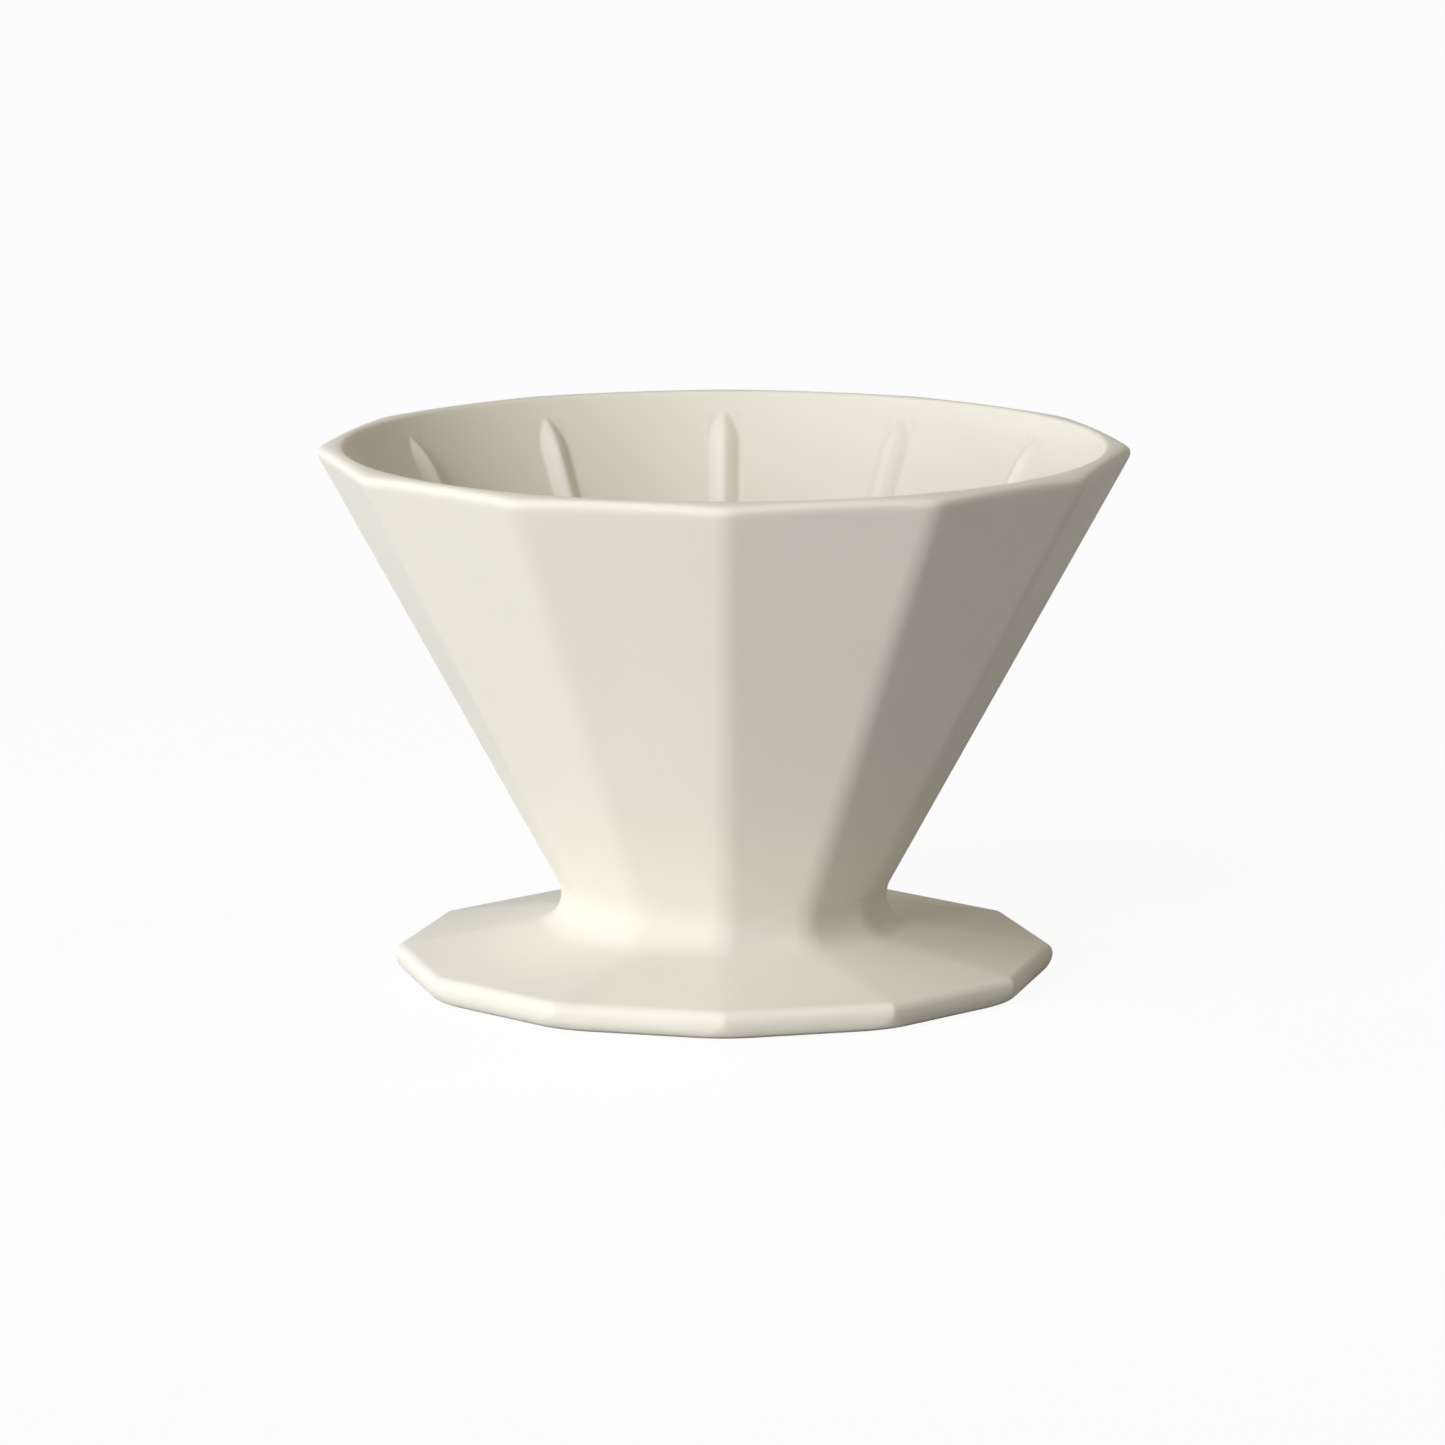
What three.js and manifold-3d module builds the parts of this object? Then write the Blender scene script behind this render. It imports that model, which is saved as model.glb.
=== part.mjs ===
// A pour over coffee dripper in matte glazed ceramic: a twelve-sided cone, round and ribbed inside for a cone
// paper, on a twelve-sided saucer that stands on a cup or a server. The two are cast apart and joined with slip
// before firing. The cone's shoulder sits on the saucer's collar, and its spigot passes down through the saucer.
// Millimetres, +Z up. The origin is on the axis, in the plane that the saucer's foot stands on.
import * as THREE from "three";
import { mergeVertices } from "three/addons/utils/BufferGeometryUtils.js";
import Module from "manifold-3d";

const wasm = await Module();
wasm.setup();

// Sizes that both pieces share
const facetCount = 12;
const edgeRounding = 5.5; // radius of the cone's upright edges, between two facets
const jointClearance = 0.3; // level gap between the spigot and the saucer's bore
const cutOverrun = 3; // how far a cutter passes beyond what it cuts

// Sizes of the cone. With the rim and the height, the outlet makes the sixty degree cone of a cone paper.
const height = 76.9;
const rimAcrossCorners = 118;
const rimWall = 2.5; // level, from the bore to the middle of a facet
const neckWall = 5.8; // the same, where the facets meet the saucer's top
const lipDepth = 2.3; // how far down the facets the lip's outer rounding reaches
const lipCrest = 0.3; // level, from that rounding to the bore's, at the middle of a facet
const lipInnerRound = 0.9;
const outletDiameter = 21.3;
const outletLift = 1; // the outlet stops this far above the plane of the foot
const spigotWall = 2.6; // level, around the bore
const spigotRound = 0.7;

// Sizes of the ribs that hold the paper off the wall
const ribTopWidth = 5.6;
const ribFootWidth = 3;
const ribRise = 1.5; // how far a rib stands off the wall, level
const ribRoot = 0.7; // how deep a rib is bedded in the wall, level
const ribShape = 1.3; // power of the cosine that a rib's section follows, whose flanks spread into the wall
const ribBelowRim = 1.9;
const ribRunOut = 7; // height over which a rib's top sinks into the wall

// Sizes of the saucer
const saucerAcrossCorners = 95.1;
const saucerEdge = 3.9; // height of the edge, before its corners are rounded
const saucerCornerRound = 2.8; // radius of the corners at the saucer's edge, seen from above
const saucerTopRound = 1.9;
const saucerFootRound = 2.3;
const neckHeight = 8.5; // where the saucer's top would meet the cone's facets
const neckFillet = 2.7;
const footWidth = 5; // level, of the flat ring that the saucer stands on
const footStep = 0.8; // rise of the short flank inside that ring

// How finely round forms are divided
const boreSteps = 60;
const edgeSteps = 2;
const roundSteps = 5;
const ribSteps = 8;
const runOutSteps = 5;
const mergeDistance = 1e-4;

// Places that follow from the sizes
const apothemShare = Math.cos(Math.PI / facetCount); // distance to a facet over distance to a corner
const rimApothem = (rimAcrossCorners / 2) * apothemShare;
const saucerApothem = (saucerAcrossCorners / 2) * apothemShare;
const rimCorner = new THREE.Vector2(rimApothem, height);
const rimBore = new THREE.Vector2(rimApothem - rimWall, height);
const outlet = new THREE.Vector2(outletDiameter / 2, outletLift);
const neckCorner = new THREE.Vector2(along(rimBore, outlet, neckHeight) + neckWall, neckHeight);
const saucerCorner = new THREE.Vector2(saucerApothem, saucerEdge);
const footCorner = new THREE.Vector2(saucerApothem, 0);
const neckArc = cornerArc(saucerCorner, neckCorner, rimCorner, neckFillet);
const seam = neckArc.at(-1); // where the fillet runs into the facets, and the two pieces join
const innerLip = cornerArc(outlet, rimBore, rimCorner, lipInnerRound);
const crestRadius = innerLip.at(-1).x + lipCrest;

// Level distance from the axis of the straight line through two profile points, at a given height
function along(first, second, z) {
  return THREE.MathUtils.mapLinear(z, first.y, second.y, first.x, second.x);
}

function boreRadius(z) {
  return along(rimBore, outlet, z);
}

// Points of the arc that rounds the corner between two straight runs of a profile
function cornerArc(before, corner, after, radius) {
  const back = before.clone().sub(corner).normalize();
  const ahead = after.clone().sub(corner).normalize();
  const half = back.angleTo(ahead) / 2;
  const inward = back.clone().add(ahead).normalize();
  const centre = corner.clone().addScaledVector(inward, radius / Math.sin(half));
  const reach = radius / Math.tan(half);
  const start = corner.clone().addScaledVector(back, reach).sub(centre);
  const end = corner.clone().addScaledVector(ahead, reach).sub(centre);
  const clockwise = start.cross(end) < 0;
  const arc = new THREE.EllipseCurve(
    centre.x,
    centre.y,
    radius,
    radius,
    start.angle(),
    end.angle(),
    clockwise,
  );
  return arc.getPoints(roundSteps);
}

// A level ring of points round a facetted section, with its corners rounded, anticlockwise from above
function facettedRing({ x: apothem, y: z }, rounding = edgeRounding) {
  const halfTurn = Math.PI / facetCount;
  const centreRadius = (apothem - rounding) / apothemShare;
  const ring = [];
  for (let corner = 0; corner < facetCount; corner++) {
    const heading = 2 * halfTurn * corner;
    for (let step = 0; step <= edgeSteps; step++) {
      const normal = heading + halfTurn * THREE.MathUtils.mapLinear(step, 0, edgeSteps, -1, 1);
      const point = new THREE.Vector3(
        centreRadius * Math.cos(heading) + rounding * Math.cos(normal),
        centreRadius * Math.sin(heading) + rounding * Math.sin(normal),
        z,
      );
      ring.push(point);
    }
  }
  return ring;
}

// A closed skin over a stack of level rings with equally many points, capped at both ends
function loft(rings) {
  const count = rings[0].length;
  const top = rings.length - 1;
  const index = (ring, point) => ring * count + (point % count);
  const triangles = [];
  for (let ring = 0; ring < top; ring++) {
    for (let point = 0; point < count; point++) {
      triangles.push(index(ring, point), index(ring, point + 1), index(ring + 1, point + 1));
      triangles.push(index(ring, point), index(ring + 1, point + 1), index(ring + 1, point));
    }
  }
  for (let point = 1; point + 1 < count; point++) {
    triangles.push(index(0, 0), index(0, point + 1), index(0, point));
    triangles.push(index(top, 0), index(top, point), index(top, point + 1));
  }
  const geometry = new THREE.BufferGeometry().setFromPoints(rings.flat());
  return geometry.setIndex(triangles);
}

// A profile of level distance and height, turned about the axis, which it starts and ends on
function revolve(profile) {
  return new THREE.LatheGeometry(profile, boreSteps).rotateX(Math.PI / 2);
}

function toSolid(geometry) {
  geometry.deleteAttribute("normal");
  geometry.deleteAttribute("uv");
  const merged = mergeVertices(geometry, mergeDistance);
  const mesh = new wasm.Mesh({
    numProp: 3,
    vertProperties: merged.attributes.position.array,
    triVerts: new Uint32Array(merged.index.array),
  });
  return new wasm.Manifold(mesh);
}

function toGeometry(solid) {
  const mesh = solid.getMesh();
  const geometry = new THREE.BufferGeometry();
  geometry.setAttribute("position", new THREE.BufferAttribute(mesh.vertProperties, mesh.numProp));
  geometry.setIndex(new THREE.BufferAttribute(mesh.triVerts, 1));
  geometry.computeVertexNormals();
  return geometry;
}

// Filter cone

// The facets from the shoulder up to the crest of the lip, as a full body. Over the lip, each point follows a
// curve from its facet to a crest that is round.
function facettedBody() {
  const lipStart = seam.clone().sub(rimCorner).setLength(lipDepth).add(rimCorner);
  const bottom = facettedRing(lipStart);
  const edge = facettedRing(rimCorner);
  const lip = [];
  for (let step = 0; step <= roundSteps; step++) {
    const ring = bottom.map((start, index) => {
      const corner = edge[index];
      const crest = corner.clone().setZ(0).setLength(crestRadius).setZ(height);
      return new THREE.QuadraticBezierCurve3(start, corner, crest).getPoint(step / roundSteps);
    });
    lip.push(ring);
  }
  return toSolid(loft([facettedRing(seam), ...lip]));
}

// The round tail below the shoulder, with the same taper as the bore
function spigot() {
  const rootHeight = seam.y + cutOverrun;
  const tip = new THREE.Vector2(outlet.x + spigotWall, outlet.y);
  const root = new THREE.Vector2(boreRadius(rootHeight) + spigotWall, rootHeight);
  const axisAtTip = new THREE.Vector2(0, tip.y);
  const axisAtRoot = new THREE.Vector2(0, root.y);
  const tipArc = cornerArc(axisAtTip, tip, root, spigotRound);
  return toSolid(revolve([axisAtTip, ...tipArc, root, axisAtRoot]));
}

// The space for the paper, from below the outlet to above the rounded inner edge of the lip
function bore() {
  const low = outletLift - cutOverrun;
  const high = height + cutOverrun;
  const foot = new THREE.Vector2(boreRadius(low), low);
  const head = new THREE.Vector2(innerLip.at(-1).x, high);
  const axisAtFoot = new THREE.Vector2(0, low);
  const axisAtHead = new THREE.Vector2(0, high);
  return toSolid(revolve([axisAtFoot, foot, ...innerLip, head, axisAtHead]));
}

// A level section of a rib, which rises from the wall and is bedded in it by its root
function ribRing(z, rise) {
  const width = THREE.MathUtils.mapLinear(z, outletLift, height, ribFootWidth, ribTopWidth);
  const wall = boreRadius(z);
  const ring = [new THREE.Vector3(wall + ribRoot, width / 2, z)];
  for (let step = 0; step <= ribSteps; step++) {
    const side = THREE.MathUtils.mapLinear(step, 0, ribSteps, 1, -1);
    const lift = Math.cos((side * Math.PI) / 2) ** ribShape;
    ring.push(new THREE.Vector3(wall - rise * lift, (width / 2) * side, z));
  }
  ring.push(new THREE.Vector3(wall + ribRoot, -width / 2, z));
  return ring;
}

// A rib from the outlet to its pointed top, where its crest sinks into the wall
function rib(heading) {
  const top = height - ribBelowRim;
  const rings = [ribRing(outletLift, ribRise)];
  for (let step = 0; step <= runOutSteps; step++) {
    const climbed = step / runOutSteps;
    const crest = Math.cos((climbed * Math.PI) / 2);
    const rise = THREE.MathUtils.lerp(-ribRoot / 2, ribRise, crest);
    rings.push(ribRing(top - ribRunOut * (1 - climbed), rise));
  }
  return toSolid(loft(rings).rotateZ(heading));
}

function filterCone() {
  let cone = facettedBody().add(spigot()).subtract(bore());
  for (let corner = 0; corner < facetCount; corner++) {
    cone = cone.add(rib((2 * Math.PI * corner) / facetCount));
  }
  return cone;
}

// Saucer

// The outer form, from the foot over the rounded edge and the sloping top to the collar
function saucerBody() {
  const axisAtFoot = new THREE.Vector2(0, 0);
  const footArc = cornerArc(axisAtFoot, footCorner, saucerCorner, saucerFootRound);
  const edgeArc = cornerArc(footCorner, saucerCorner, neckCorner, saucerTopRound);
  const below = [...footArc, ...edgeArc].map((place) => facettedRing(place, saucerCornerRound));
  const above = neckArc.map((place) => facettedRing(place));
  return toSolid(loft([...below, ...above]));
}

// The shallow dish under the saucer, whose ceiling runs alongside the sloping top as far as the neck
function dish() {
  const slope = (neckHeight - saucerEdge) / (saucerApothem - neckCorner.x);
  const footInner = saucerApothem - saucerFootRound - footWidth;
  const flank = new THREE.Vector2(footInner - footStep, footStep);
  const ceiling = new THREE.Vector2(neckCorner.x, footStep + slope * (flank.x - neckCorner.x));
  const profile = [
    new THREE.Vector2(0, -cutOverrun),
    new THREE.Vector2(footInner + cutOverrun, -cutOverrun),
    flank,
    ceiling,
    new THREE.Vector2(0, ceiling.y),
  ];
  return toSolid(revolve(profile));
}

// The tapered hole that the cone's spigot passes through
function spigotBore() {
  const low = -cutOverrun;
  const high = seam.y + cutOverrun;
  const around = spigotWall + jointClearance;
  const profile = [
    new THREE.Vector2(0, low),
    new THREE.Vector2(boreRadius(low) + around, low),
    new THREE.Vector2(boreRadius(high) + around, high),
    new THREE.Vector2(0, high),
  ];
  return toSolid(revolve(profile));
}

function saucerBase() {
  return saucerBody().subtract(dish()).subtract(spigotBore());
}

// Materials

const matteGlaze = new THREE.MeshStandardMaterial({
  color: 0xdedace,
  roughness: 0.6,
  metalness: 0,
  flatShading: true,
});

const pieces = { filter_cone: filterCone(), saucer_base: saucerBase() };
const dripper = new THREE.Group();
for (const [name, solid] of Object.entries(pieces)) {
  const mesh = new THREE.Mesh(toGeometry(solid), matteGlaze);
  mesh.name = name;
  dripper.add(mesh);
}

export default dripper;
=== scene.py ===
"""A pour over dripper in matte glazed ceramic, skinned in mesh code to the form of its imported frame.

Each piece is one closed skin through level rings that follow its profile. A ring has twelve sides with
soft corners where the ware is facetted, and is round where the ware was turned. Over the lip, each point
follows a curve from its facet to a crest that is round. The rings of the bore carry the ribs.
"""

import math
from typing import NamedTuple

import bpy
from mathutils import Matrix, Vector


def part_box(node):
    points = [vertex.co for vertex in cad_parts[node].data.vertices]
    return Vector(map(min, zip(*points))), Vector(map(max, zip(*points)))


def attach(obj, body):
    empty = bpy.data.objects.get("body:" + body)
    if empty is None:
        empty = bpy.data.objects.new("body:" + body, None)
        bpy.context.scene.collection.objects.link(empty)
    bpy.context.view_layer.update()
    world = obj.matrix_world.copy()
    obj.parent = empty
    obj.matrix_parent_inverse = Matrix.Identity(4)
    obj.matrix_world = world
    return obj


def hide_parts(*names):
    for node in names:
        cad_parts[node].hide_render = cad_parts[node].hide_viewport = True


bl_info = {
    "name": "Pour over dripper",
    "version": (1, 0, 0),
    "blender": (4, 5, 0),
    "location": "3D View > Sidebar > Dripper",
    "description": "Makes a facetted ceramic cone dripper on its saucer, with its studio",
    "category": "Object",
}

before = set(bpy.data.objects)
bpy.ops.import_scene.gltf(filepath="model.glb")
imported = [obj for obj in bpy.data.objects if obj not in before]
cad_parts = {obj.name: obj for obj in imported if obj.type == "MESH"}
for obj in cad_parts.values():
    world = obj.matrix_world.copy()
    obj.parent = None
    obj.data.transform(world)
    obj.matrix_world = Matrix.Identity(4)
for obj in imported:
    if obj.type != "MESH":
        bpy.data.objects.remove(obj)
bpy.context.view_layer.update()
CONE_LOW, CONE_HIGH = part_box("filter_cone")
SAUCER_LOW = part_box("saucer_base")[0]

MM = 0.001
FACETS = 12
HALF_SECTOR = math.pi / FACETS
APOTHEM_SHARE = math.cos(HALF_SECTOR)

# How finely the skins are divided
CORNER_STEPS = 10
FLAT_STEPS = 11
ARC_STEPS = 14
WALL_STEPS = 14
RUN_OUT_STEPS = 16
SHORT_STEPS = 4

# How thin glaze draws over an edge, against the thinnest that it gets; its lighter tone is partly a
# painted highlight
UPRIGHT_EDGE_SHARE = 0.15
LIP_SHARE = 0.5
OUTLET_SHARE = 0.5
SAUCER_EDGE_SHARE = 0.5
FOOT_EDGE_SHARE = 0.2

# How deep glaze gathers along a rib's root, how close to it, and from what rise upwards it draws thin;
# the darker root is partly painted shade, the lighter crest partly a painted highlight
RIB_ROOT_DEEP_AND_PAINTED_SHADE_SHARE = 0.35
RIB_ROOT_POWER = 4
RIB_THIN_AND_PAINTED_HIGHLIGHT_SHARE = 0.5

# How the finishes are made: where noise is drawn out, and how many finer layers it has
PATCH_RANGE_SHARES = (0.35, 0.65)
GRIT_RANGE_SHARES = (0.56, 0.68)
TONE_DETAIL = 3
SWELL_DETAIL = 1
GRAIN_DETAIL = 2
GRIT_DETAIL = 4

# How far thin and deep glaze take on their own colours, lighter partly as a painted highlight and darker
# partly as painted shade, and how strongly the relief shows
THIN_GLAZE_AND_PAINTED_HIGHLIGHT_SHARE = 0.6
DEEP_GLAZE_AND_PAINTED_SHADE_SHARE = 1.0
BUMP_SHARE = 0.5

# Where the Mix node keeps its two colours, and what it makes of them
MIX_COLOURS = slice(6, 8)
MIX_RESULT = 2

# The studio, in metres, with the lamps turned to a point midway up the dripper
LAMP_AIM = (CONE_HIGH + SAUCER_LOW) / 2
LAMP_DISTANCE = 2.0
FLOOR_REACH = 6.0
FLOOR_ROUGHNESS = 0.9


# Settings that a user would change


def length(name, description, millimetres):
    """A length setting in metres, written here in millimetres."""
    return bpy.props.FloatProperty(
        name=name,
        description=description,
        default=millimetres * MM,
        precision=5,
        subtype="DISTANCE",
        unit="LENGTH",
    )


def colour(name, description, rgb):
    """A colour setting, with its channels as light values from 0 to 1."""
    return bpy.props.FloatVectorProperty(
        name=name,
        description=description,
        default=rgb,
        min=0.0,
        max=1.0,
        size=3,
        subtype="COLOR",
    )


def share(name, description, default):
    """A setting from 0 to 1."""
    return bpy.props.FloatProperty(
        name=name,
        description=description,
        default=default,
        min=0.0,
        max=1.0,
        subtype="FACTOR",
    )


def angle(name, description, degrees):
    """An angle setting, written here in degrees."""
    return bpy.props.FloatProperty(
        name=name,
        description=description,
        default=math.radians(degrees),
        subtype="ANGLE",
        unit="ROTATION",
    )


def power(name, description, watts):
    """The power of a lamp."""
    return bpy.props.FloatProperty(
        name=name,
        description=description,
        default=watts,
        min=0.0,
        unit="POWER",
    )


class DripperSizes(bpy.types.PropertyGroup):
    """Sizes of the cone, its ribs and the saucer"""

    height: length("Height", "From the foot to the top of the lip", CONE_HIGH.z / MM)
    outlet_lift: length("Outlet lift", "From the foot up to the outlet", CONE_LOW.z / MM)
    rim_across: length("Rim", "Across the corners of the rim, before the lip is rounded", 118.09)
    rim_wall: length("Rim wall", "From the bore to the middle of a facet, level", 2.69)
    neck_wall: length("Neck wall", "The same where the facets meet the saucer's top", 5.7)
    lip_depth: length("Lip depth", "How far down the facets the lip's outer rounding reaches", 2.4)
    lip_inner_round: length("Inner lip", "Rounding of the lip's inner edge", 0.89)
    outlet_across: length("Outlet", "Across the bore at the outlet", 21.3)
    outlet_round: length("Outlet edge", "Rounding of the outlet's inner edge", 0.4)
    spigot_wall: length("Spigot wall", "Around the bore below the seam, level", 2.6)
    spigot_round: length("Spigot edge", "Rounding of the spigot's outer edge", 0.7)
    joint_gap: length("Joint gap", "Level room round the spigot, inside the saucer", 0.3)
    rim_round: length("Facet edge, rim", "Rounding of the upright edges at the rim", 6.5)
    neck_round: length("Facet edge, neck", "Rounding of the upright edges at the neck", 7.8)
    rib_top_width: length("Rib width, top", "Width of a rib at the rim", 4.7)
    rib_foot_width: length("Rib width, outlet", "Width of a rib at the outlet", 2.8)
    rib_rise: length("Rib height", "How far a rib stands off the wall, level", 1.52)
    rib_soften: length("Rib root", "How softly the glaze fills a rib's root", 0.03)
    rib_below_rim: length("Rib start", "From the rim down to the tip of a rib", 2.9)
    rib_run_out: length("Rib run-out", "Height over which a rib's tip sinks into the wall", 4.5)
    rib_crest_share: share("Rib crest", "Rounding of a rib's crest, as a share of half its width", 0.22)
    saucer_across: length("Saucer", "Across the corners of the saucer", 94.85)
    saucer_edge: length("Saucer edge", "Height of the edge, before it is rounded", 4.01)
    saucer_round: length("Saucer corner", "Rounding of the saucer's corners", 1.7)
    saucer_top_round: length("Saucer top edge", "Rounding of the edge above", 1.5)
    saucer_foot_round: length("Saucer foot edge", "Rounding of the edge below", 2.5)
    neck_height: length("Neck", "Where the saucer's top would meet the facets", 8.5)
    neck_fillet: length("Neck fillet", "Hollow between the facets and the saucer", 4.2)
    foot_width: length("Foot ring", "Width of the flat ring underneath", 5.0)
    foot_corner_round: length("Foot corner", "Rounding of the foot ring's outer corners", 18)
    foot_step: length("Foot step", "Rise of the flank inside the foot ring", 0.8)
    # The wiped band on the foot rounding is partly a painted shadow line under the saucer's edge
    wiped_share: share("Wiped foot", "Share of the rounding below that is wiped bare of glaze", 0.5)
    foot_inner_round: length("Foot inner edge", "Rounding of the ring's inner edge", 0.4)


class DripperLook(bpy.types.PropertyGroup):
    """Colours and surface of the glaze and of the bare clay"""

    glaze: colour("Glaze", "Matte glaze on the flats", (0.79, 0.755, 0.677))
    glaze_shade: colour("Glaze shade", "Tone that the glaze drifts to in places", (0.765, 0.735, 0.662))
    # Lighter thin glaze, partly a painted highlight on edges, the lip and the rib crests
    glaze_thin: colour("Thin glaze", "Where glaze draws thin over an edge", (0.84, 0.815, 0.745))
    # Darker deep glaze, partly painted shade in the neck hollow and along the rib roots
    glaze_deep: colour("Deep glaze", "Where glaze gathers in a hollow", (0.7, 0.672, 0.602))
    roughness: share("Glaze roughness", "Mean roughness of the matte glaze", 0.7)
    roughness_drift: share("Roughness drift", "How far the roughness drifts to either side", 0.06)
    drift_across: length("Tone patches", "Size of the patches in which the glaze drifts in tone", 38)
    patch_across: length("Roughness patches", "Size of the patches in which the roughness drifts", 14)
    swell_across: length("Swell", "Size of the slow swells that the cast surface keeps", 22)
    swell_height: length("Swell height", "How far a swell stands up", 0.12)
    peel_across: length("Peel", "Size of the dimples in the glaze", 1.6)
    peel_height: length("Peel depth", "How deep a dimple is", 0.012)
    grain_across: length("Grain", "Size of the finest grain of the matte glaze", 0.28)
    grain_height: length("Grain height", "How far a grain stands up", 0.004)
    # The bare clay's dark tone is partly painted shadow along the saucer's lower edge
    clay: colour("Bare clay", "Wiped foot ring", (0.58, 0.54, 0.465))
    clay_grit: colour("Clay grit", "Fine dark grains in the bare clay", (0.44, 0.4, 0.335))
    clay_roughness: share("Clay roughness", "Mean roughness of the bare clay", 0.88)
    grit_across: length("Grit", "Size of the grains in the bare clay", 0.6)
    grit_height: length("Grit height", "How rough the bare clay is", 0.04)


class DripperStudio(bpy.types.PropertyGroup):
    """The photograph's camera and the studio's lights"""

    distance: length("Camera distance", "From the camera to the middle of the dripper", 1150)
    lens: bpy.props.FloatProperty(
        name="Lens",
        description="Focal length of the camera",
        default=199.81,
        unit="CAMERA",
    )
    pitch: angle("Camera pitch", "How far the camera looks down", 10.3)
    aim_height: length("Aim height", "Height of the point that the camera looks at", 36.48)
    aim_side: length("Aim side", "How far right of the axis the camera looks", -0.216)
    key_power: power("Key lamp", "Tall soft lamp from the front left", 34.3)
    key_colour: colour("Key colour", "Colour of the key lamp", (1.0, 1.0, 0.98))
    high_power: power("High lamp", "Soft lamp from high on the left", 6.6)
    high_colour: colour("High colour", "Colour of the high lamp", (0.92, 0.96, 1.0))
    side_power: power("Side lamp", "Small lamp between the key lamp and the high lamp", 5.9)
    side_colour: colour("Side colour", "Colour of the side lamp", (0.92, 0.96, 1.0))
    rim_power: power("Rim lamp", "Low lamp from behind left", 24.4)
    rim_colour: colour("Rim colour", "Colour of the rim lamp", (0.9, 0.95, 1.0))
    back_power: power("Back lamp", "High lamp from behind left", 3.6)
    back_colour: colour("Back colour", "Colour of the back lamp", (1.0, 0.92, 0.8))
    fill_power: power("Fill lamp", "Soft lamp from above right", 9.4)
    fill_colour: colour("Fill colour", "Colour of the fill lamp", (0.98, 0.88, 0.7))
    sky: share("Sky", "Level light from all round", 0.0)
    white: share("White", "Light of the background that the camera sees", 0.973)
    floor_tone: share("Floor tone", "How much light the floor throws back", 0.535)
    floor_light: share("Floor light", "Light that the bare floor shows under the lamps", 0.32)
    shadow_share: share("Shadow", "Share of the floor's own shading that shows near the dripper", 0.12)
    shadow_near: length("Shadow near", "Within this distance the floor shows that share", 90)
    shadow_far: length("Shadow far", "Past this distance the floor shows the white alone", 320)


# Profiles, as two-part vectors: the level distance from the axis, and the height


def along(first, second, z):
    """Level distance from the axis of the straight line through two profile points, at height z."""
    climbed = (z - first.y) / (second.y - first.y)
    return first.x + climbed * (second.x - first.x)


def corner_arc(before, corner, after, radius, steps=ARC_STEPS):
    """Points of the arc that rounds the corner between two straight runs of a profile."""
    back = (before - corner).normalized()
    ahead = (after - corner).normalized()
    half = back.angle(ahead) / 2
    centre = corner + (back + ahead).normalized() * radius / math.sin(half)
    start = corner + back * radius / math.tan(half) - centre
    end = corner + ahead * radius / math.tan(half) - centre
    first = math.atan2(start.y, start.x)
    turn = math.remainder(math.atan2(end.y, end.x) - first, math.tau)
    points = []
    for step in range(steps + 1):
        heading = first + turn * step / steps
        points.append(centre + radius * Vector((math.cos(heading), math.sin(heading))))
    return points


def eased_share(step, steps):
    """The share of the way at a step. Steps lie closer together near both ends, so flats shade flat."""
    return (1 - math.cos(math.pi * step / steps)) / 2


def run(start, end, steps):
    """Points between two others, closer together near both ends."""
    return [start.lerp(end, eased_share(step, steps + 1)) for step in range(1, steps + 1)]


def chain(*stretches):
    """Stretches of a profile joined by straight runs."""
    points = list(stretches[0])
    for stretch in stretches[1:]:
        points += run(points[-1], stretch[0], SHORT_STEPS)
        points += stretch
    return points


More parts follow.
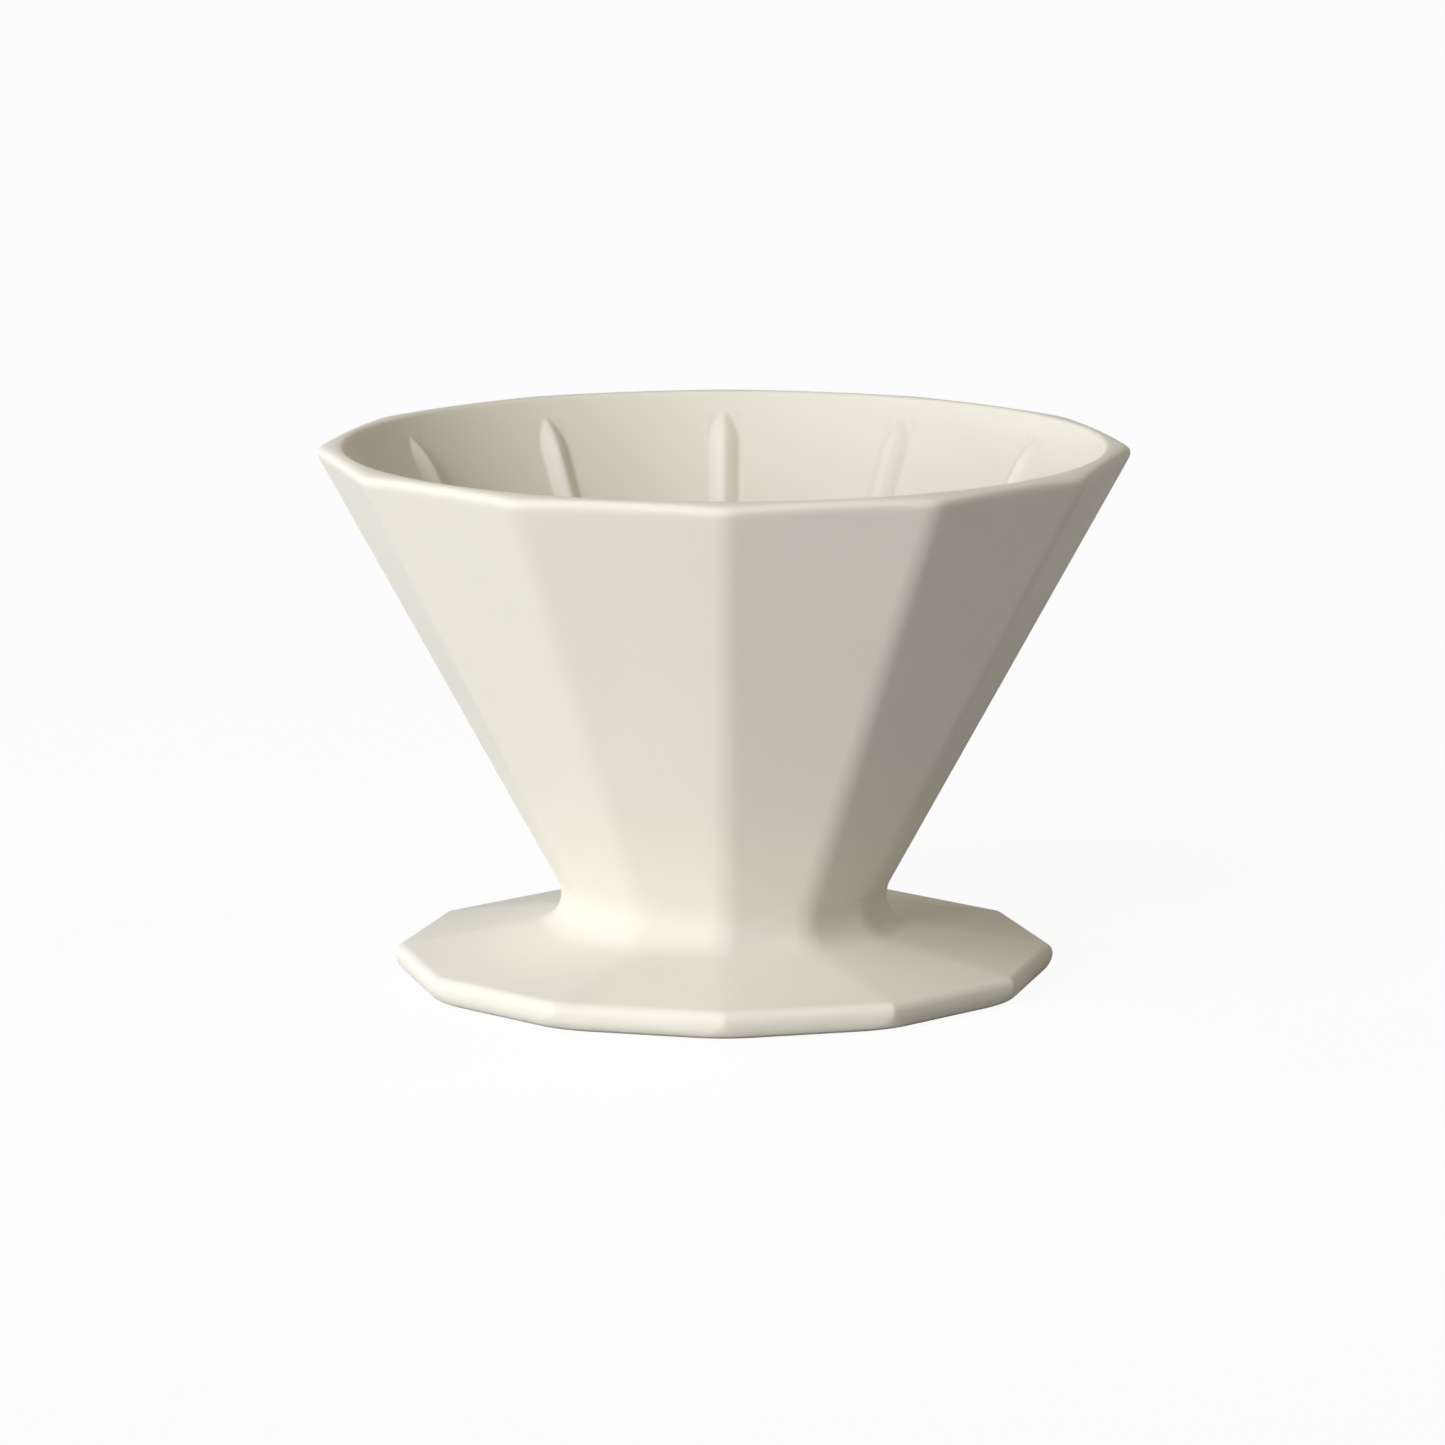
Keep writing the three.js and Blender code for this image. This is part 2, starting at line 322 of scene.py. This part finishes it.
class Profile:
    """The places that follow from the sizes."""

    def __init__(self, sizes):
        self.sizes = sizes
        rim_apothem = sizes.rim_across / 2 * APOTHEM_SHARE
        saucer_apothem = sizes.saucer_across / 2 * APOTHEM_SHARE
        self.rim = Vector((rim_apothem, sizes.height))
        self.rim_bore = Vector((rim_apothem - sizes.rim_wall, sizes.height))
        self.outlet = Vector((sizes.outlet_across / 2, sizes.outlet_lift))
        neck = self.bore(sizes.neck_height) + sizes.neck_wall
        self.neck = Vector((neck, sizes.neck_height))
        self.saucer_edge = Vector((saucer_apothem, sizes.saucer_edge))
        self.saucer_foot = Vector((saucer_apothem, 0))
        self.neck_arc = corner_arc(self.saucer_edge, self.neck, self.rim, sizes.neck_fillet)
        self.seam = self.neck_arc[-1]
        self.inner_lip = corner_arc(self.rim, self.rim_bore, self.outlet, sizes.lip_inner_round)
        self.crest = self.inner_lip[0]
        if self.crest.x >= self.rim.x:
            raise ValueError("The rim wall is too thin for the rounding of the lip's inner edge")

    def bore(self, z):
        """Radius of the bore's wall at height z."""
        return along(self.rim_bore, self.outlet, z)

    def edge_round(self, z):
        """Rounding of the cone's upright edges at height z."""
        climbed = (z - self.seam.y) / (self.rim.y - self.seam.y)
        return self.sizes.neck_round + climbed * (self.sizes.rim_round - self.sizes.neck_round)

    def saucer_round(self, place):
        """Rounding of the saucer's corners at a place on its top."""
        inwards = (self.saucer_edge.x - place.x) / (self.saucer_edge.x - self.neck_arc[0].x)
        return self.sizes.saucer_round + inwards * (self.sizes.neck_round - self.sizes.saucer_round)

    def rib_width(self, z):
        """Width of a rib at height z."""
        climbed = (z - self.outlet.y) / (self.rim.y - self.outlet.y)
        thin, wide = self.sizes.rib_foot_width, self.sizes.rib_top_width
        return thin + climbed * (wide - thin)

    def rib_level(self, z, across):
        """How far a rib stands off the wall at height z, from -1 to 1 across its width.

        Its section is a ridge with a rounded crest and a softened root. Its tip sinks into the wall.
        """
        sizes = self.sizes
        tip = self.rim.y - sizes.rib_below_rim
        sunk_share = min(max(1 - (tip - z) / sizes.rib_run_out, 0), 1) ** 2
        crest = sizes.rib_crest_share
        ridge_share = (math.hypot(1, crest) - math.hypot(across, crest)) / (math.hypot(1, crest) - crest)
        level = sizes.rib_rise * (ridge_share - sunk_share) - sizes.rib_soften
        return (level + math.hypot(level, sizes.rib_soften)) / 2


# Skins


class Ring(NamedTuple):
    """One level ring of a skin: its place on the profile, its shape, and how the glaze lies there.

    A ring with rounded corners is facetted, and one without is round. The crest share is how far it has
    gone over from the facets to the round crest of the lip. The glaze is deep at 1 and thin at -1, and
    thinner yet by its edge share at the corners. Deep glaze is darker, partly as painted shade, and thin
    glaze lighter, partly as a painted highlight.
    """

    place: Vector
    corner_round: float = 0.0
    crest_share: float = 0.0
    ribbed: bool = False
    glaze: float = 0.0
    edge_share: float = 0.0
    bare: bool = False
    sharp: bool = False


class Column(NamedTuple):
    """One upright line of a skin: its place across a corner, from -1 to 1, or else along the flat."""

    corner: int
    across: float | None = None
    flat_share: float | None = None


def columns():
    """The columns of a skin, closer together near the edges of its flats."""
    made = []
    for corner in range(FACETS):
        for step in range(-CORNER_STEPS, CORNER_STEPS + 1):
            made.append(Column(corner, across=step / CORNER_STEPS))
        for step in range(1, FLAT_STEPS + 1):
            made.append(Column(corner, flat_share=eased_share(step, FLAT_STEPS + 1)))
    return made


COLUMNS = columns()


def corner_point(reach, corner_round, corner, across):
    """A point on a rounded corner of a twelve-sided section, from -1 to 1 across the rounding."""
    heading = 2 * HALF_SECTOR * corner
    normal = heading + HALF_SECTOR * math.sin(across * math.pi / 2)
    centre = (reach - corner_round) / APOTHEM_SHARE
    x = centre * math.cos(heading) + corner_round * math.cos(normal)
    y = centre * math.sin(heading) + corner_round * math.sin(normal)
    return Vector((x, y))


def facetted_point(reach, corner_round, column):
    """The point of a column on a twelve-sided section with rounded corners."""
    if column.flat_share is None:
        return corner_point(reach, corner_round, column.corner, column.across)
    start = corner_point(reach, corner_round, column.corner, 1)
    end = corner_point(reach, corner_round, column.corner + 1, -1)
    return start.lerp(end, column.flat_share)


def round_point(reach, half_zone, rise, column):
    """The point of a column on a round section, where a rib may stand inwards at each corner."""
    heading = 2 * HALF_SECTOR * column.corner
    if column.flat_share is None:
        turn = heading + half_zone * column.across
    else:
        turn = heading + half_zone + column.flat_share * 2 * (HALF_SECTOR - half_zone)
    return (reach - rise) * Vector((math.cos(turn), math.sin(turn)))


def ring_point(profile, ring, column):
    """The point of a column on a ring, and how deep the glaze lies there, which also sets painted shade
    and highlight.
    """
    reach, z = ring.place
    half_zone = math.asin(profile.rib_width(z) / 2 / reach)
    in_corner = column.flat_share is None
    if ring.corner_round:
        level = facetted_point(reach, ring.corner_round, column)
        if ring.crest_share:
            crest_zone = math.asin(profile.rib_width(z) / 2 / profile.crest.x)
            level = level.lerp(round_point(profile.crest.x, crest_zone, 0, column), ring.crest_share)
        # The corners take lighter thin glaze by the edge share, partly a painted highlight
        edge = math.cos(column.across * math.pi / 2) ** 2 if in_corner else 0
        return level, ring.glaze - ring.edge_share * edge
    if ring.ribbed and in_corner:
        rise = profile.rib_level(z, column.across)
        return round_point(reach, half_zone, rise, column), rib_glaze(profile, rise, column.across)
    return round_point(reach, half_zone, 0, column), ring.glaze


def rib_glaze(profile, rise, across):
    """How deep the glaze lies on a rib: thin and lighter on its crest, partly as a painted highlight, and
    gathered and darker along its root, partly as painted shade.
    """
    risen_share = min(rise / profile.sizes.rib_rise, 1)
    if risen_share >= RIB_THIN_AND_PAINTED_HIGHLIGHT_SHARE:
        return -risen_share
    low_share = math.cos(math.pi / 2 * risen_share / RIB_THIN_AND_PAINTED_HIGHLIGHT_SHARE)
    outer_share = math.sin(abs(across) * math.pi / 2) ** RIB_ROOT_POWER
    return RIB_ROOT_DEEP_AND_PAINTED_SHADE_SHARE * low_share * outer_share


def skin(name, rings, profile):
    """A closed mesh through rings along a closed profile, with its glaze's depth as an attribute that
    also carries painted shade and highlight.
    """
    vertices = []
    glaze_and_painted_light_depths = []
    for ring in rings:
        for column in COLUMNS:
            level, depth = ring_point(profile, ring, column)
            vertices.append((level.x, level.y, ring.place.y))
            glaze_and_painted_light_depths.append(depth)
    count = len(COLUMNS)
    faces = []
    bare_faces = []
    for index, ring in enumerate(rings):
        this = index * count
        following = (index + 1) % len(rings) * count
        for column in range(count):
            beside = (column + 1) % count
            faces.append((this + column, this + beside, following + beside, following + column))
            bare_faces.append(ring.bare and rings[(index + 1) % len(rings)].bare)
    mesh = bpy.data.meshes.new(name)
    mesh.from_pydata(vertices, [], faces)
    mesh.polygons.foreach_set("use_smooth", [True] * len(faces))
    mesh.polygons.foreach_set("material_index", [int(bare) for bare in bare_faces])
    attribute = mesh.attributes.new("glaze_depth", "FLOAT", "POINT")
    attribute.data.foreach_set("value", glaze_and_painted_light_depths)
    for edge in mesh.edges:
        first, second = (vertex // count for vertex in edge.vertices)
        edge.use_edge_sharp = first == second and rings[first].sharp
    mesh.update()
    return mesh


def glazed_piece(name, mesh, finishes, node):
    """Links a piece of the dripper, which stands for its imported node."""
    piece = bpy.data.objects.new(name, mesh)
    for material in finishes:
        mesh.materials.append(material)
    bpy.context.scene.collection.objects.link(piece)
    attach(piece, "root")
    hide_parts(node)


def lip_rings(profile, start):
    """Rings of the lip's outer half, where a point follows a curve from its facet to the crest."""
    rings = []
    for step in range(ARC_STEPS):
        over = step / ARC_STEPS
        reach = ((1 - over) * start.x + 2 * over * profile.rim.x) / (1 + over)
        height = profile.rim.y - (profile.rim.y - start.y) * (1 - over) ** 2
        bend = math.sin(math.pi / 2 * over)
        # The lip takes lighter thin glaze, partly a painted highlight
        ring = Ring(
            Vector((reach, height)),
            corner_round=profile.edge_round(height),
            crest_share=over**2,
            glaze=-LIP_SHARE * bend,
            edge_share=UPRIGHT_EDGE_SHARE * (1 - bend),
        )
        rings.append(ring)
    return rings


def cone_rings(profile):
    """Rings of the cone, up the facets from the seam, over the lip, down the bore and up the spigot."""
    sizes = profile.sizes
    lip_start = profile.rim + (profile.seam - profile.rim).normalized() * sizes.lip_depth
    spigot_tip = Vector((profile.outlet.x + sizes.spigot_wall, profile.outlet.y))
    spigot_root = Vector((profile.bore(profile.seam.y) + sizes.spigot_wall, profile.seam.y))
    outlet_arc = corner_arc(profile.rim_bore, profile.outlet, spigot_tip, sizes.outlet_round, SHORT_STEPS)
    spigot_arc = corner_arc(profile.outlet, spigot_tip, spigot_root, sizes.spigot_round)
    rib_tip = sizes.height - sizes.rib_below_rim
    run_out = []
    for step in range(RUN_OUT_STEPS + 1):
        z = rib_tip - sizes.rib_run_out * step / RUN_OUT_STEPS
        run_out.append(Vector((profile.bore(z), z)))
    rings = [Ring(profile.seam, corner_round=sizes.neck_round, sharp=True)]
    for place in run(profile.seam, lip_start, WALL_STEPS):
        corner_round = profile.edge_round(place.y)
        rings.append(Ring(place, corner_round=corner_round, edge_share=UPRIGHT_EDGE_SHARE))
    rings += lip_rings(profile, lip_start)
    # The inner lip and the outlet take lighter thin glaze, partly a painted highlight
    rings += [Ring(place, glaze=-LIP_SHARE) for place in profile.inner_lip]
    rings += [Ring(place) for place in run(profile.inner_lip[-1], run_out[0], SHORT_STEPS)]
    rings += [Ring(place, ribbed=True) for place in run_out]
    rings += [Ring(place, ribbed=True) for place in run(run_out[-1], outlet_arc[0], WALL_STEPS)]
    rings += [Ring(place, ribbed=True, glaze=-OUTLET_SHARE) for place in outlet_arc]
    rings += [Ring(place) for place in chain(spigot_arc, [spigot_root])[:-1]]
    rings.append(Ring(spigot_root, sharp=True))
    return rings


def saucer_rings(profile):
    """Rings of the saucer, down its bore, out under its dish, round its foot and edge, and up its top."""
    sizes = profile.sizes
    corner = sizes.saucer_round
    around = sizes.spigot_wall + sizes.joint_gap
    slope = (profile.neck.y - profile.saucer_edge.y) / (profile.saucer_edge.x - profile.neck.x)
    foot_inner = Vector((profile.saucer_edge.x - sizes.saucer_foot_round - sizes.foot_width, 0))
    flank = foot_inner + Vector((-sizes.foot_step, sizes.foot_step))
    ceiling = Vector((profile.neck.x, sizes.foot_step + slope * (flank.x - profile.neck.x)))
    collar = Vector((profile.bore(profile.seam.y) + around, profile.seam.y))
    hole = Vector((profile.bore(ceiling.y) + around, ceiling.y))
    axis = Vector((0, 0))
    foot_outer = corner_arc(axis, profile.saucer_foot, profile.saucer_edge, sizes.saucer_foot_round)
    edge = corner_arc(profile.saucer_foot, profile.saucer_edge, profile.neck, sizes.saucer_top_round)
    foot_edge = corner_arc(flank, foot_inner, foot_outer[0], sizes.foot_inner_round, SHORT_STEPS)
    # The lower share of the foot rounding is bare clay, partly a painted shadow line under the edge
    wiped = round(ARC_STEPS * sizes.wiped_share)
    under = chain([collar], [hole], [ceiling], [flank])
    rings = [Ring(place, sharp=place in (collar, hole)) for place in under]
    rings += [Ring(place) for place in chain([flank], foot_edge[:1])[1:]]
    rings += [Ring(place, bare=True) for place in foot_edge[1:]]
    for step, place in enumerate(foot_outer):
        foot_corner = corner + (sizes.foot_corner_round - corner) * (1 - step / ARC_STEPS)
        bare = step < wiped
        glaze = 0 if bare else -FOOT_EDGE_SHARE
        rings.append(Ring(place, corner_round=foot_corner, glaze=glaze, bare=bare))
    # The saucer's top edge takes lighter thin glaze, partly a painted highlight
    rings += [Ring(place, corner_round=corner, glaze=-SAUCER_EDGE_SHARE) for place in edge]
    for place in run(edge[-1], profile.neck_arc[0], WALL_STEPS):
        rings.append(Ring(place, corner_round=profile.saucer_round(place)))
    last = len(profile.neck_arc) - 1
    # Glaze gathers deeper and darker in the neck hollow, partly as painted shade
    for step, place in enumerate(profile.neck_arc):
        depth = math.sin(math.pi * step / last)
        rings.append(Ring(place, corner_round=sizes.neck_round, glaze=depth, sharp=step == last))
    return rings


# Materials


class MaterialNodes:
    """The nodes of one material, with short ways to add and join them."""

    def __init__(self, name):
        self.material = bpy.data.materials.new(name)
        self.material.use_nodes = True
        self.tree = self.material.node_tree
        self.shader = self.tree.nodes["Principled BSDF"]
        self.output = self.tree.nodes["Material Output"]
        self.place = self.add("ShaderNodeTexCoord").outputs["Object"]

    def add(self, kind, **settings):
        """Adds a node with these settings."""
        node = self.tree.nodes.new(kind)
        for key, value in settings.items():
            setattr(node, key, value)
        return node

    def join(self, output, socket):
        """Joins an output to an input."""
        self.tree.links.new(output, socket)

    def math(self, operation, first, second):
        """Works two values out into one."""
        node = self.add("ShaderNodeMath", operation=operation)
        self.join(first, node.inputs[0])
        self.join(second, node.inputs[1])
        return node.outputs[0]

    def spread(self, value, low, high, to_low, to_high):
        """Maps a value from one range to another, and holds it there."""
        node = self.add("ShaderNodeMapRange", clamp=True)
        self.join(value, node.inputs["Value"])
        settings = {"From Min": low, "From Max": high, "To Min": to_low, "To Max": to_high}
        for key, number in settings.items():
            node.inputs[key].default_value = number
        return node.outputs["Result"]

    def noise(self, across, detail):
        """Noise whose features are about this far across, from 0 to 1."""
        node = self.add("ShaderNodeTexNoise")
        self.join(self.place, node.inputs["Vector"])
        node.inputs["Scale"].default_value = 1 / across
        node.inputs["Detail"].default_value = detail
        return node.outputs["Fac"]

    def patches(self, across, detail, to_low=0, to_high=1):
        """Noise drawn out into patches that reach both ends of a range."""
        return self.spread(self.noise(across, detail), *PATCH_RANGE_SHARES, to_low, to_high)

    def blend(self, factor, first, second):
        """Mixes two colours, each a socket or three channels."""
        node = self.add("ShaderNodeMix", data_type="RGBA")
        self.join(factor, node.inputs["Factor"])
        for tone, socket in zip((first, second), node.inputs[MIX_COLOURS]):
            if isinstance(tone, bpy.types.NodeSocket):
                self.join(tone, socket)
            else:
                socket.default_value = (*tone, 1)
        return node.outputs[MIX_RESULT]

    def bump(self, value, height, beneath=None):
        """Raises the surface by a value, over what lies beneath."""
        node = self.add("ShaderNodeBump")
        node.inputs["Distance"].default_value = height
        node.inputs["Strength"].default_value = BUMP_SHARE
        self.join(value, node.inputs["Height"])
        if beneath:
            self.join(beneath, node.inputs["Normal"])
        return node.outputs["Normal"]


def join_roughness(nodes, look, mean):
    """Gives a finish a roughness that drifts in patches to either side of its mean."""
    smooth = mean - look.roughness_drift
    rough = mean + look.roughness_drift
    drifting = nodes.patches(look.patch_across, TONE_DETAIL, smooth, rough)
    nodes.join(drifting, nodes.shader.inputs["Roughness"])


def satin_glaze(look):
    """Satin matte glaze that drifts in tone, thins lighter over edges, partly as a painted highlight, and
    gathers darker in hollows, partly as painted shade.
    """
    nodes = MaterialNodes("satin_glaze")
    # The glaze's depth also carries painted shade and highlight
    depth = nodes.add("ShaderNodeAttribute", attribute_name="glaze_depth").outputs["Fac"]
    tone = nodes.blend(nodes.patches(look.drift_across, TONE_DETAIL), look.glaze, look.glaze_shade)
    # Lighter thin glaze is partly a painted highlight, and darker deep glaze partly painted shade
    tone = nodes.blend(nodes.spread(depth, 0, -1, 0, THIN_GLAZE_AND_PAINTED_HIGHLIGHT_SHARE), tone, look.glaze_thin)
    tone = nodes.blend(nodes.spread(depth, 0, 1, 0, DEEP_GLAZE_AND_PAINTED_SHADE_SHARE), tone, look.glaze_deep)
    nodes.join(tone, nodes.shader.inputs["Base Color"])
    join_roughness(nodes, look, look.roughness)
    swell = nodes.bump(nodes.noise(look.swell_across, SWELL_DETAIL), look.swell_height)
    peel = nodes.bump(nodes.noise(look.peel_across, GRAIN_DETAIL), look.peel_height, swell)
    grain = nodes.bump(nodes.noise(look.grain_across, GRAIN_DETAIL), look.grain_height, peel)
    nodes.join(grain, nodes.shader.inputs["Normal"])
    return nodes.material


def bare_clay(look):
    """Wiped, unglazed clay with fine grit, on the foot ring and the lower foot rounding, darkened partly
    as a painted shadow line under the saucer's edge.
    """
    nodes = MaterialNodes("bare_clay")
    grains = nodes.noise(look.grit_across, GRIT_DETAIL)
    grit = nodes.spread(grains, *GRIT_RANGE_SHARES, 0, 1)
    nodes.join(nodes.blend(grit, look.clay, look.clay_grit), nodes.shader.inputs["Base Color"])
    join_roughness(nodes, look, look.clay_roughness)
    nodes.join(nodes.bump(grains, look.grit_height), nodes.shader.inputs["Normal"])
    return nodes.material


def finish(make, look):
    """The finish that a function makes, made once."""
    return bpy.data.materials.get(make.__name__) or make(look)


# Studio


class Lamp(NamedTuple):
    """Where a soft lamp stands, and the size of its lit face.

    The heading goes round the dripper, rightwards from the camera, and the climb goes up from level.
    """

    heading_degrees: float
    climb_degrees: float
    width: float
    height: float


LAMPS = {
    "key": Lamp(-33, 12, 0.6, 1.2),
    "high": Lamp(-45, 50, 0.8, 0.8),
    "side": Lamp(-50, 36, 0.6, 0.6),
    "rim": Lamp(-120, 0, 0.6, 0.6),
    "back": Lamp(-120, 52, 0.6, 0.6),
    "fill": Lamp(90, 52, 0.6, 0.6),
}


def add_camera(studio):
    """The camera at the photograph's viewing angle."""
    data = bpy.data.cameras.new("photo_camera")
    data.lens = studio.lens
    camera = bpy.data.objects.new("photo_camera", data)
    back = studio.distance * math.cos(studio.pitch)
    up = studio.aim_height + studio.distance * math.sin(studio.pitch)
    camera.location = (studio.aim_side, -back, up)
    camera.rotation_euler = (math.pi / 2 - studio.pitch, 0, 0)
    bpy.context.scene.collection.objects.link(camera)
    bpy.context.scene.camera = camera


def add_lamp(name, lamp, watts, tint):
    """A soft lamp that looks at the dripper."""
    data = bpy.data.lights.new(name, "AREA")
    data.shape = "RECTANGLE"
    data.size = lamp.width
    data.size_y = lamp.height
    data.energy = watts
    data.color = tint
    light = bpy.data.objects.new(name, data)
    heading = math.radians(lamp.heading_degrees)
    climb = math.radians(lamp.climb_degrees)
    level = LAMP_DISTANCE * math.cos(climb)
    up = LAMP_DISTANCE * math.sin(climb)
    offset = Vector((math.sin(heading) * level, -math.cos(heading) * level, up))
    light.location = LAMP_AIM + offset
    light.rotation_euler = (-offset).to_track_quat("-Z", "Y").to_euler()
    bpy.context.scene.collection.objects.link(light)


def seen_or_mirrored(tree):
    """1 for rays from the camera, off a gloss or through glass, and 0 for all others."""
    path = tree.nodes.new("ShaderNodeLightPath")
    value = path.outputs["Is Camera Ray"]
    for name in ("Is Glossy Ray", "Is Transmission Ray"):
        larger = tree.nodes.new("ShaderNodeMath")
        larger.operation = "MAXIMUM"
        tree.links.new(value, larger.inputs[0])
        tree.links.new(path.outputs[name], larger.inputs[1])
        value = larger.outputs[0]
    return value


def pale_floor(studio):
    """A floor that the camera sees as the background's white, with the dripper's faint shadow on it.

    Near the dripper a share of the floor's own shading stays. What the camera sees of it is raised to
    the same white by the light that the bare floor lacks.
    """
    nodes = MaterialNodes("pale_floor")
    tone = studio.floor_tone
    nodes.shader.inputs["Base Color"].default_value = (tone, tone, tone, 1)
    nodes.shader.inputs["Roughness"].default_value = FLOOR_ROUGHNESS
    away = nodes.add("ShaderNodeVectorMath", operation="LENGTH")
    nodes.join(nodes.place, away.inputs[0])
    far_share = nodes.spread(away.outputs["Value"], studio.shadow_near, studio.shadow_far, 0, 1)
    straight = nodes.add("ShaderNodeLightPath").outputs["Is Camera Ray"]
    seen = seen_or_mirrored(nodes.tree)

    def by_distance(near, far):
        """A value that goes from near to far for the camera, and from nothing to far off a gloss."""
        shown = nodes.math("MULTIPLY", straight, nodes.spread(far_share, 0, 1, near, far))
        mirrored = nodes.math("MULTIPLY", seen, nodes.spread(far_share, 0, 1, 0, far))
        return nodes.math("MAXIMUM", shown, mirrored)

    shading = nodes.add("ShaderNodeMixShader")
    nodes.join(by_distance(1 - studio.shadow_share, 1), shading.inputs[0])
    nodes.join(nodes.shader.outputs[0], shading.inputs[1])
    glow = nodes.add("ShaderNodeEmission")
    lacking = studio.white - studio.shadow_share * studio.floor_light
    nodes.join(by_distance(lacking, studio.white), glow.inputs["Strength"])
    both = nodes.add("ShaderNodeAddShader")
    nodes.join(shading.outputs[0], both.inputs[0])
    nodes.join(glow.outputs[0], both.inputs[1])
    nodes.join(both.outputs[0], nodes.output.inputs["Surface"])
    return nodes.material


def add_floor(studio):
    """The level floor that the dripper stands on."""
    reach = FLOOR_REACH
    corners = [(-reach, -reach, 0), (reach, -reach, 0), (reach, reach, 0), (-reach, reach, 0)]
    mesh = bpy.data.meshes.new("floor")
    mesh.from_pydata(corners, [], [(0, 1, 2, 3)])
    mesh.materials.append(pale_floor(studio))
    floor = bpy.data.objects.new("floor", mesh)
    bpy.context.scene.collection.objects.link(floor)


def add_sky(studio):
    """Level light from all round, which the camera sees as the background's white."""
    world = bpy.data.worlds.new("sky")
    world.use_nodes = True
    tree = world.node_tree
    background = tree.nodes["Background"]
    background.inputs["Color"].default_value = (1, 1, 1, 1)
    strength = tree.nodes.new("ShaderNodeMapRange")
    strength.inputs["To Min"].default_value = studio.sky
    strength.inputs["To Max"].default_value = studio.white
    tree.links.new(seen_or_mirrored(tree), strength.inputs["Value"])
    tree.links.new(strength.outputs["Result"], background.inputs["Strength"])
    bpy.context.scene.world = world


# Operators


class DRIPPER_OT_filter_cone(bpy.types.Operator):
    """Make the facetted cone with its ribbed bore and spigot"""

    bl_idname = "dripper.filter_cone"
    bl_label = "Filter cone"

    def execute(self, context):
        look = context.scene.dripper_look
        profile = Profile(context.scene.dripper_sizes)
        mesh = skin("glazed_cone", cone_rings(profile), profile)
        glazed_piece("glazed_cone", mesh, [finish(satin_glaze, look)], "filter_cone")
        return {"FINISHED"}


class DRIPPER_OT_saucer(bpy.types.Operator):
    """Make the facetted saucer with its neck fillet, dish and foot ring"""

    bl_idname = "dripper.saucer"
    bl_label = "Saucer"

    def execute(self, context):
        look = context.scene.dripper_look
        profile = Profile(context.scene.dripper_sizes)
        mesh = skin("glazed_saucer", saucer_rings(profile), profile)
        finishes = [finish(satin_glaze, look), finish(bare_clay, look)]
        glazed_piece("glazed_saucer", mesh, finishes, "saucer_base")
        return {"FINISHED"}


class DRIPPER_OT_stage(bpy.types.Operator):
    """Set up the camera, the pale floor, the soft lamps and the sky"""

    bl_idname = "dripper.stage"
    bl_label = "Stage"

    def execute(self, context):
        studio = context.scene.dripper_studio
        context.scene.view_settings.view_transform = "Standard"
        add_camera(studio)
        add_floor(studio)
        add_sky(studio)
        for name, lamp in LAMPS.items():
            watts = getattr(studio, f"{name}_power")
            tint = getattr(studio, f"{name}_colour")
            add_lamp(f"{name}_lamp", lamp, watts, tint)
        return {"FINISHED"}


class DRIPPER_PT_panel(bpy.types.Panel):
    """Lists the pieces and the settings of the dripper"""

    bl_idname = "DRIPPER_PT_panel"
    bl_label = "Pour over dripper"
    bl_space_type = "VIEW_3D"
    bl_region_type = "UI"
    bl_category = "Dripper"

    def draw(self, context):
        for operator in OPERATORS:
            self.layout.operator(operator.bl_idname)
        scene = context.scene
        for group in (scene.dripper_sizes, scene.dripper_look, scene.dripper_studio):
            box = self.layout.box()
            for name in group.__annotations__:
                box.prop(group, name)


OPERATORS = (DRIPPER_OT_filter_cone, DRIPPER_OT_saucer, DRIPPER_OT_stage)
CLASSES = (DripperSizes, DripperLook, DripperStudio, *OPERATORS, DRIPPER_PT_panel)


def register():
    """Registers the classes and the groups of settings."""
    for cls in CLASSES:
        bpy.utils.register_class(cls)
    bpy.types.Scene.dripper_sizes = bpy.props.PointerProperty(type=DripperSizes)
    bpy.types.Scene.dripper_look = bpy.props.PointerProperty(type=DripperLook)
    bpy.types.Scene.dripper_studio = bpy.props.PointerProperty(type=DripperStudio)


def unregister():
    """Takes the groups of settings and the classes away again."""
    del bpy.types.Scene.dripper_studio
    del bpy.types.Scene.dripper_look
    del bpy.types.Scene.dripper_sizes
    for cls in reversed(CLASSES):
        bpy.utils.unregister_class(cls)


def main():
    """Makes the dripper and its stage."""
    register()
    bpy.ops.dripper.filter_cone()
    bpy.ops.dripper.saucer()
    bpy.ops.dripper.stage()


if __name__ == "__main__":
    main()
